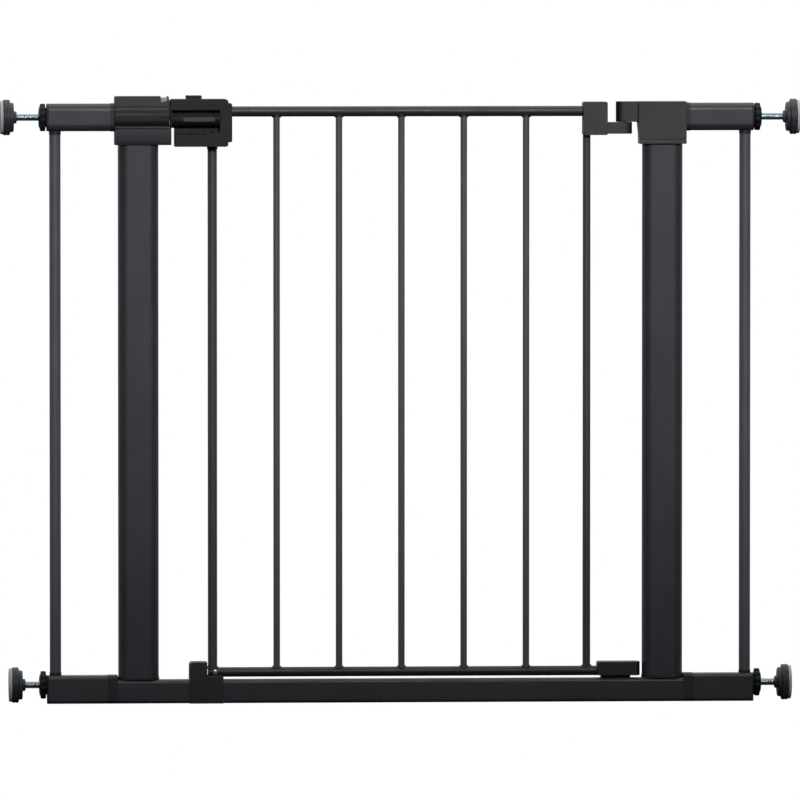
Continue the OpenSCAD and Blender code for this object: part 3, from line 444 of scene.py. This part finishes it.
rubberPad = dict(
    mouldedCover, colour=(0.46, 0.465, 0.475), colourLight=(0.56, 0.565, 0.575), speckColour=(0.6, 0.6, 0.61),
    wearColour=(0.50, 0.50, 0.50), rough=(0.72, 0.88), bump=0.6, gloss=0.25, dust=0.1)
indicatorGreen = dict(
    mouldedCover, colour=(0.295, 0.39, 0.32), colourLight=(0.36, 0.45, 0.385), speckColour=(0.44, 0.52, 0.46),
    speck=0.1, wearColour=(0.55, 0.70, 0.58), rough=(0.38, 0.50), bump=0.15, dust=0.05)
bearingNatural = dict(
    mouldedCover, colour=(0.44, 0.42, 0.36), colourLight=(0.54, 0.52, 0.46), speckColour=(0.6, 0.58, 0.52),
    wearColour=(0.3, 0.29, 0.27), rough=(0.35, 0.5), bump=0.15, dust=0.05)
brightZinc = {
    "colour": (0.50, 0.51, 0.53), "colourLight": (0.64, 0.65, 0.67), "streakColour": (0.30, 0.31, 0.33),
    "streak": 0.5, "wearColour": (0.75, 0.76, 0.78), "wear": 0.5, "edgeRadius": 0.0004, "wearScale": 500.0,
    "fineScale": 900.0, "cellScale": 300.0, "cellShare": 0.5, "driftScale": 60.0,
    "stretch": (900.0, 90.0, 900.0), "rough": (0.22, 0.42), "bump": 0.25, "bumpHeight": 0.0001, "metal": 1.0,
}
blueZinc = dict(
    brightZinc, colour=(0.33, 0.45, 0.49), colourLight=(0.44, 0.56, 0.60), streakColour=(0.20, 0.27, 0.31),
    stretch=(60.0, 900.0, 900.0), rough=(0.26, 0.44), wearColour=(0.6, 0.7, 0.74))

finishes = {
    "frame_paint": coatedFinish("framePowderCoat", powderCoat),
    "door_paint": coatedFinish("doorPowderCoat", doorPaintedShadeCoat),
    "stiles": coatedFinish("stilePowderCoat", stilePaintedLightCoat),
    "bars": coatedFinish("barPowderCoat", barPaintedHighlightCoat),
    "low_rail": coatedFinish("lowRailPowderCoat", lowRailPaintedShadeCoat),
    "black_plastic": coatedFinish("blackMoulding", blackMoulded),
    "housing_plastic": coatedFinish("coverMoulding", mouldedCover),
    "handle_plastic": coatedFinish("handleMoulding", mouldedHandle),
    "grip_plastic": coatedFinish("gripSatin", gripSatin),
    "zinc_steel": metalFinish("brightZincPlate", brightZinc),
    "bearing_plastic": coatedFinish("bearingMoulding", bearingNatural),
    "indicator_green": coatedFinish("indicatorGreen", indicatorGreen),
    "wheel_plastic": coatedFinish("wheelMoulding", wheelMoulded),
    "rod_zinc": metalFinish("blueZincRod", blueZinc),
    "pad_plastic": coatedFinish("padMoulding", padMoulded),
    "pad_rubber": coatedFinish("padRubber", rubberPad),
}
print("stage 4:", len(finishes), "finishes")


# ---- modelling helpers ----

copying = {
    "mergeWithin": 0.004 * mm,
    "flatWithin": 0.6,       # degrees
}

def makeActive(piece):
    clearPick()
    piece.select_set(True)
    bpy.context.view_layer.objects.active = piece


def applyPlace():
    bpy.ops.object.transform_apply(location=True, rotation=True, scale=True)


def pickParts(piece, kind, test):
    # test gets a part's middle and its normal, or an edge's direction
    makeActive(piece)
    bpy.ops.object.mode_set(mode="EDIT")
    bpy.ops.mesh.select_mode(type=kind)
    bpy.ops.mesh.select_all(action="DESELECT")
    mesh = bmesh.from_edit_mesh(piece.data)
    if kind == "VERT":
        for vert in mesh.verts:
            vert.select_set(bool(test(vert.co, vert.normal)))
    elif kind == "EDGE":
        for edge in mesh.edges:
            first, last = edge.verts[0].co, edge.verts[1].co
            edge.select_set(bool(test((first + last) / 2, (last - first).normalized())))
    else:
        for face in mesh.faces:
            face.select_set(bool(test(face.calc_center_median(), face.normal)))
    mesh.select_flush_mode()
    bmesh.update_edit_mesh(piece.data)


def leaveEdit():
    bpy.ops.object.mode_set(mode="OBJECT")


def roundEdges(piece, width, segments=3, angle=35):
    makeActive(piece)
    soft = piece.modifiers.new("softEdges", "BEVEL")
    soft.width = width
    soft.segments = segments
    soft.limit_method = "ANGLE"
    soft.angle_limit = math.radians(angle)
    soft.use_clamp_overlap = True
    bpy.ops.object.modifier_apply(modifier=soft.name)


def smoothPiece(piece, angle=32):
    makeActive(piece)
    bpy.ops.object.shade_smooth_by_angle(angle=math.radians(angle))


def evenFaces(piece):
    # flat faces keep their own normals beside rounded edges
    even = piece.modifiers.new("evenFaces", "WEIGHTED_NORMAL")
    even.keep_sharp = True
    makeActive(piece)
    bpy.ops.object.modifier_apply(modifier=even.name)


def finishPiece(piece, node, *others):
    # the piece stands for the CAD node, rides on its body and takes its finish
    piece.data.materials.clear()
    piece.data.materials.append(finishes[slotOf[node]])
    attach(piece, bodyOf[node])
    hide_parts(node, *others)
    return piece


def paintFaces(piece, slot, test):
    # the faces that pass the test take a second finish
    piece.data.materials.append(finishes[slot])
    for face in piece.data.polygons:
        if test(face.center, face.normal):
            face.material_index = len(piece.data.materials) - 1


def splitEnd(piece, name, plane, slot, body, gap=0.15):
    # cuts the end off a piece across X, and makes it a piece of its own in another finish
    makeActive(piece)
    bpy.ops.object.duplicate(linked=False)
    end = bpy.context.object
    for key in list(end.keys()):
        if key.startswith("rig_"):
            del end[key]
    end.name = name
    end.data.name = name
    outward = plane["outward"]
    for part, shift, clear in ((piece, -gap, {"clear_outer": True}), (end, 0, {"clear_inner": True})):
        makeActive(part)
        bpy.ops.object.mode_set(mode="EDIT")
        bpy.ops.mesh.select_all(action="SELECT")
        bpy.ops.mesh.bisect(
            plane_co=(plane["x"] + outward * shift * mm, 0, 0), plane_no=(outward, 0, 0),
            use_fill=True, **clear)
        leaveEdit()
        smoothPiece(part)
    end.data.materials.clear()
    end.data.materials.append(finishes[slot])
    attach(end, body)
    return end


def turnPiece(name, start, axis, profile, sides=72):
    # profile is stations along the axis, each with its radius, from start onwards
    clearPick()
    bpy.ops.mesh.primitive_cylinder_add(
        vertices=sides, radius=profile[0][1], depth=profile[1][0] - profile[0][0],
        location=((profile[0][0] + profile[1][0]) / 2, 0, 0), rotation=(0, math.pi / 2, 0))
    piece = bpy.context.object
    piece.name = name
    piece.data.name = name
    applyPlace()
    pickParts(piece, "FACE", lambda middle, normal: normal.x > 0.9)
    grow = profile[1][1] / profile[0][1]
    bpy.ops.transform.resize(value=(1, grow, grow), center_override=(profile[1][0], 0, 0))
    for last, here in zip(profile[1:], profile[2:]):
        bpy.ops.mesh.extrude_region_move(TRANSFORM_OT_translate={"value": (here[0] - last[0], 0, 0)})
        grow = here[1] / last[1]
        bpy.ops.transform.resize(value=(1, grow, grow), center_override=(here[0], 0, 0))
    leaveEdit()
    piece.rotation_euler = {"X": (0, 0, 0), "Y": (0, 0, math.pi / 2)}[axis]
    piece.location = start
    applyPlace()
    return piece


def copyPiece(piece, name, shift=(0, 0, 0), halfTurn=False):
    makeActive(piece)
    bpy.ops.object.duplicate(linked=False)
    twin = bpy.context.object
    twin.name = name
    twin.data.name = name
    if halfTurn:
        twin.rotation_euler = (0, 0, math.pi)
        applyPlace()
    twin.location = shift
    applyPlace()
    return twin


def cadCopy(name, node, bevel=0.0, segments=2):
    # merged copy of a CAD node, with its edges rounded
    makeActive(nodes[node])
    bpy.ops.object.duplicate(linked=False)
    piece = bpy.context.object
    for key in list(piece.keys()):
        if key.startswith("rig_"):
            del piece[key]
    piece.parent = None
    piece.name = name
    piece.data.name = name
    if piece.data.has_custom_normals:
        bpy.ops.mesh.customdata_custom_splitnormals_clear()
    bpy.ops.object.mode_set(mode="EDIT")
    bpy.ops.mesh.select_all(action="SELECT")
    bpy.ops.mesh.remove_doubles(threshold=copying["mergeWithin"])
    bpy.ops.mesh.dissolve_limited(angle_limit=math.radians(copying["flatWithin"]))
    leaveEdit()
    if bevel:
        roundEdges(piece, bevel, segments)
    smoothPiece(piece)
    evenFaces(piece)
    return finishPiece(piece, node)


# ---- powder-coated tubes ----

tubes = {
    "frame": {
        "bottomRailTube": "bottom_rail", "leftPostTube": "left_post", "rightPostTube": "right_post",
        "leftArmTube": "left_arm", "rightArmTube": "right_arm", "leftExtensionRail": "left_extension_rail",
        "rightExtensionRail": "right_extension_rail", "leftOuterBar": "left_outer_bar",
        "rightOuterBar": "right_outer_bar",
    },
    "door": {
        "doorTopRail": "door_top_rail", "doorBottomRail": "door_bottom_rail", "latchStile": "latch_stile",
        "hingeStile": "hinge_stile", "doorBars": "door_bars",
    },
    # bars and stiles take the lighter copies and the door's low rail the darker one: painted light and
    # painted shade on one powder coat
    "paintedLightAndShade": {
        "leftOuterBar": "bars", "rightOuterBar": "bars", "doorBars": "bars",
        "latchStile": "stiles", "hingeStile": "stiles", "doorBottomRail": "low_rail",
    },
}

for group in ("frame", "door"):
    for name, node in tubes[group].items():
        cadCopy(name, node)
for name, finish in tubes["paintedLightAndShade"].items():
    bpy.data.objects[name].data.materials[0] = finishes[finish]
print("stage 5: tubes")


# ---- weld beads round the foot and head of each upright ----

welds = {
    "beadRadius": 1.15 * mm,
    "ringGap": 0.35 * mm,
    "ripple": 0.22,
    "ripplesPerTurn": 17,
    "roughness": 0.5,
    "barCount": 5,
}


def weldBead(x, railZ, railR, barR, side):
    # torus laid on the rail's round side: side is 1 above the rail, -1 below
    clearPick()
    ring = barR + welds["ringGap"]
    bpy.ops.mesh.primitive_torus_add(
        location=(x, 0, railZ), major_radius=ring, minor_radius=welds["beadRadius"],
        major_segments=68, minor_segments=10)
    bead = bpy.context.object
    applyPlace()
    for vert in bead.data.vertices:
        out = vert.co - Vector((x, 0, railZ))
        turn = math.atan2(out.y, out.x)
        flat = Vector((math.cos(turn), math.sin(turn), 0)) * ring
        ripple = welds["ripple"] * math.sin(turn * welds["ripplesPerTurn"] + x * 900)
        swell = 1 + ripple + welds["roughness"] * noise.noise(vert.co * 300)
        off = (out - flat) * swell
        saddle = math.sqrt(max(railR ** 2 - flat.y ** 2, 0))
        vert.co = Vector((x, 0, railZ)) + flat + off + Vector((0, 0, side * saddle))
    return bead


def buildWelds():
    topLow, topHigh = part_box("door_top_rail")
    lowLow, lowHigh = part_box("door_bottom_rail")
    topR, lowR = (topHigh.y - topLow.y) / 2, (lowHigh.y - lowLow.y) / 2
    topZ, lowZ = (topHigh.z + topLow.z) / 2, (lowHigh.z + lowLow.z) / 2
    barLow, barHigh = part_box("door_bars")
    barR = (barHigh.y - barLow.y) / 2
    pitch = (barHigh.x - barLow.x - 2 * barR) / (welds["barCount"] - 1)
    beads = []
    for i in range(welds["barCount"]):
        x = barLow.x + barR + i * pitch
        beads.append(weldBead(x, lowZ, lowR, barR, 1))
        beads.append(weldBead(x, topZ, topR, barR, -1))
    for stile in ("latch_stile", "hinge_stile"):
        low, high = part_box(stile)
        beads.append(weldBead((low.x + high.x) / 2, lowZ, lowR, (high.x - low.x) / 2, 1))
    clearPick()
    for bead in beads:
        bead.select_set(True)
    bpy.context.view_layer.objects.active = beads[0]
    bpy.ops.object.join()
    welded = bpy.context.object
    welded.name = "doorWeldBeads"
    applyPlace()
    smoothPiece(welded, 60)
    finishPiece(welded, "door_weld_collars")


buildWelds()
print("stage 6: weld beads")


# ---- moulded covers, collars and small hardware from the CAD shapes ----

mouldings = {
    "postFeet": ("post_feet", 0.35, 2), "railJoints": ("rail_joints", 0.25, 2),
    "frameCollars": ("frame_collars", 0.25, 2), "endPlugs": ("end_plugs", 0.4, 2),
    "latchHousingFront": ("latch_housing_front", 0.35, 2),
    "latchHousingRear": ("latch_housing_rear", 0.35, 2),
    "hingeCap": ("hinge_cap", 0.35, 2), "upperHingeBlock": ("upper_hinge_block", 0.4, 2),
    "lowerHingeBlock": ("lower_hinge_block", 0.4, 2), "floorCatch": ("floor_catch", 0.4, 2),
    "handleFront": ("handle_front", 0.3, 2), "handleRear": ("handle_rear", 0.3, 2),
    "gripBarrel": ("grip_barrel", 0.15, 2), "stileCollar": ("stile_collar", 0.4, 2),
    "releaseButton": ("release_button", 0.3, 2), "lockIndicator": ("lock_indicator", 0.4, 3),
    "latchKeeper": ("latch_keeper", 0.2, 2), "latchBolt": ("latch_bolt", 0.35, 2),
    "lowerHingeFoot": ("lower_hinge_foot", 0.3, 2), "housingScrews": ("housing_screws", 0.12, 2),
    "handleScrews": ("handle_screws", 0.12, 2), "baseScrews": ("base_screws", 0.2, 2),
    "topHingePin": ("top_hinge_pin", 0.3, 2), "lowerHingePin": ("lower_hinge_pin", 0.3, 2),
}

for name, (node, width, segments) in mouldings.items():
    cadCopy(name, node, width * mm, segments)

coverTrim = {
    "bandFrom": 17.2 * mm,   # the band stands out past this depth
    "barDepth": 0.3 * mm,
    "noseEnd": 4.6 * mm,
    "tongueEnd": 3.4 * mm,
}


def trimCovers():
    # the band of the latch housing is darker than the rest of it
    for name in ("latchHousingFront", "latchHousingRear"):
        paintFaces(
            bpy.data.objects[name], "handle_plastic",
            lambda middle, normal: abs(middle.y) > coverTrim["bandFrom"])
    # plain raised bar on the grip
    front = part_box("grip_barrel")[0].y + coverTrim["barDepth"]
    paintFaces(bpy.data.objects["gripBarrel"], "frame_paint", lambda middle, normal: middle.y < front)
    # end pads of the hinge's nose and tongue
    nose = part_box("hinge_cap")[0].x + coverTrim["noseEnd"]
    splitEnd(
        bpy.data.objects["hingeCap"], "hingeNoseEnd", {"x": nose, "outward": -1}, "wheel_plastic",
        bodyOf["hinge_cap"])
    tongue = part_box("upper_hinge_block")[1].x - coverTrim["tongueEnd"]
    splitEnd(
        bpy.data.objects["upperHingeBlock"], "hingeTongueEnd", {"x": tongue, "outward": 1}, "wheel_plastic",
        bodyOf["upper_hinge_block"])


trimCovers()
print("stage 7: moulded covers and hardware")


# ---- domed catch pin ----

def buildCatchPin():
    low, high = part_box("catch_pin")
    r = (high.z - low.z) / 2
    long = high.y - low.y
    dome = 1.1 * mm
    profile = [(0, r * 0.45), (0.25 * mm, r * 0.72), (0.6 * mm, r * 0.9), (dome, r), (long - dome, r),
               (long - 0.6 * mm, r * 0.9), (long - 0.25 * mm, r * 0.72), (long, r * 0.45)]
    pin = turnPiece("catchPin", ((low.x + high.x) / 2, low.y, (low.z + high.z) / 2), "Y", profile, 40)
    smoothPiece(pin, 50)
    finishPiece(pin, "catch_pin")


buildCatchPin()
print("stage 8: catch pin")


# ---- wall fixings: one of each piece is made at the upper right, and copied to the other corners ----

fixing = {
    "threadPitch": 2.0 * mm,
    "threadDepth": 0.62 * mm,
    "threadSteps": 28,
    "wheelLobes": 12,
    "wheelSides": 144,
    "padSides": 96,
    "padGrooves": 5,
    "wheelNotches": ((0.26, 0.985), (0.18, 0.965), (0.11, 0.975)),   # share of a lobe, scale
}


def middle(node):
    low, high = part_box(node)
    return (low + high) / 2


def buildRod():
    low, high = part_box("top_right_rod")
    r = (high.z - low.z) / 2
    pitch, depth = fixing["threadPitch"], fixing["threadDepth"]
    turns = int((high.x - low.x) / pitch) + 3
    clearPick()
    bpy.ops.mesh.primitive_plane_add(size=pitch, location=(low.x - pitch, 0, (low.z + high.z) / 2))
    rod = bpy.context.object
    rod.name = "threadedRod"
    pickParts(rod, "VERT", lambda place, normal: place.y > 0)
    bpy.ops.mesh.delete(type="VERT")
    bpy.ops.mesh.select_all(action="SELECT")
    bpy.ops.transform.translate(value=(pitch / 2, pitch / 2, r - depth))
    bpy.ops.mesh.subdivide(number_cuts=4)
    pickParts(rod, "VERT", lambda place, normal: pitch * 0.3 < place.x < pitch * 0.7)
    bpy.ops.transform.translate(value=(0, 0, depth))
    bpy.ops.transform.resize(value=(0.45, 1, 1), center_override=(low.x - pitch / 2, 0, 0))
    leaveEdit()
    thread = rod.modifiers.new("thread", "SCREW")
    thread.axis = "X"
    thread.steps = fixing["threadSteps"]
    thread.render_steps = fixing["threadSteps"]
    thread.screw_offset = pitch
    thread.iterations = turns
    thread.use_merge_vertices = True
    thread.merge_threshold = 0.00001
    makeActive(rod)
    bpy.ops.object.modifier_apply(modifier=thread.name)
    applyPlace()
    bpy.ops.object.mode_set(mode="EDIT")
    bpy.ops.mesh.select_all(action="SELECT")
    bpy.ops.mesh.remove_doubles(threshold=0.00001)
    bpy.ops.mesh.bisect(plane_co=(low.x, 0, 0), plane_no=(1, 0, 0), use_fill=True, clear_inner=True)
    bpy.ops.mesh.select_all(action="SELECT")
    bpy.ops.mesh.bisect(plane_co=(high.x, 0, 0), plane_no=(1, 0, 0), use_fill=True, clear_outer=True)
    bpy.ops.mesh.select_all(action="SELECT")
    bpy.ops.mesh.normals_make_consistent(inside=False)
    leaveEdit()
    smoothPiece(rod, 30)
    return rod


def buildWheel():
    low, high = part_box("top_right_wheel")
    r = (high.z - low.z) / 2
    centre = (low + high) / 2
    long = high.x - low.x
    neck, rim = 1.4 * mm, long - 1.6 * mm
    profile = [(0, r * 0.70), (neck, r * 0.70), (neck, r - 0.8 * mm), (neck + 0.8 * mm, r),
               (rim - 0.8 * mm, r), (rim, r - 0.8 * mm), (rim, r - 2.6 * mm),
               (long - 0.6 * mm, r - 5.0 * mm), (long, r - 6.4 * mm),
               (long, r - 8.6 * mm), (long - 0.7 * mm, r - 9.2 * mm)]
    wheel = turnPiece("handWheel", (low.x, centre.y, centre.z), "X", profile, fixing["wheelSides"])
    lobe = 2 * math.pi / fixing["wheelLobes"]

    def inNotch(place, share):
        turn = math.atan2(place.z - centre.z, place.y - centre.y) % lobe
        far = math.hypot(place.y - centre.y, place.z - centre.z)
        return far > r - 1.2 * mm - 0.08 * r and min(turn, lobe - turn) < share * lobe

    for share, scale in fixing["wheelNotches"]:
        pickParts(wheel, "VERT", lambda place, normal: inNotch(place, share))
        bpy.ops.transform.resize(value=(1, scale, scale), center_override=centre)
        leaveEdit()
    roundEdges(wheel, 0.35 * mm, 2, 30)
    smoothPiece(wheel)
    return wheel


def buildPad():
    low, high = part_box("top_right_pad")
    r = (high.z - low.z) / 2
    centre = (low + high) / 2
    hub, step = 7.5 * mm, r - 4 * mm
    profile = [(0, hub - 0.9 * mm), (0.9 * mm, hub), (3.7 * mm, hub), (3.7 * mm, step - 0.9 * mm),
               (4.6 * mm, step), (8.2 * mm, step), (8.2 * mm, r - 1.8 * mm), (8.9 * mm, r - 0.5 * mm),
               (9.8 * mm, r), (11.6 * mm, r), (11.9 * mm, r - 0.45 * mm), (13.0 * mm, r - 0.45 * mm),
               (13.3 * mm, r), (15.3 * mm, r), (16.3 * mm, r - 0.6 * mm), (16.8 * mm, r - 1.7 * mm)]
    pad = turnPiece("wallPad", (low.x, centre.y, centre.z), "X", profile, fixing["padSides"])
    roundEdges(pad, 0.3 * mm, 2, 30)
    smoothPiece(pad)
    return pad


def buildPadFace():
    low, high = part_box("top_right_pad_face")
    r = (high.z - low.z) / 2
    centre = (low + high) / 2
    long = high.x - low.x
    profile = [(0, r), (long - 1.2 * mm, r), (long - 0.35 * mm, r - 0.5 * mm), (long, r - 1.4 * mm)]
    for ring in range(fixing["padGrooves"]):  # grip grooves in the face
        outer = r - (3.2 + 3.4 * ring) * mm
        profile += [(long, outer), (long - 0.8 * mm, outer - 0.3 * mm), (long - 0.8 * mm, outer - 1.1 * mm),
                    (long, outer - 1.4 * mm)]
    face = turnPiece("padFace", (low.x, centre.y, centre.z), "X", profile, fixing["padSides"])
    smoothPiece(face)
    return face


def buildFixings():
    made = {
        "wheel": (buildWheel(), "HandWheel"), "rod": (buildRod(), "ThreadedRod"),
        "pad": (buildPad(), "WallPad"), "pad_face": (buildPadFace(), "PadRubber"),
    }
    for part, (piece, label) in made.items():
        home = middle("top_right_" + part)
        for height in ("top", "bottom"):
            for side in ("left", "right"):
                if (height, side) == ("top", "right"):
                    continue
                node = height + "_" + side + "_" + part
                place = middle(node)
                shift = (place.x - (home.x if side == "right" else -home.x), 0, place.z - home.z)
                twin = copyPiece(piece, height + side.capitalize() + label, shift, side == "left")
                finishPiece(twin, node)
        piece.name = "topRight" + label
        piece.data.name = piece.name
        finishPiece(piece, "top_right_" + part)


buildFixings()
print("stage 9: wall fixings")


# ---- finishes of the CAD parts that stay as they are ----

for node, piece in nodes.items():
    if not piece.hide_render:
        piece.data.materials.clear()
        piece.data.materials.append(finishes[slotOf[node]])
        for face in piece.data.polygons:
            face.use_smooth = True
print("stage 10:", sum(not piece.hide_render for piece in nodes.values()), "CAD parts kept")

clearPick()
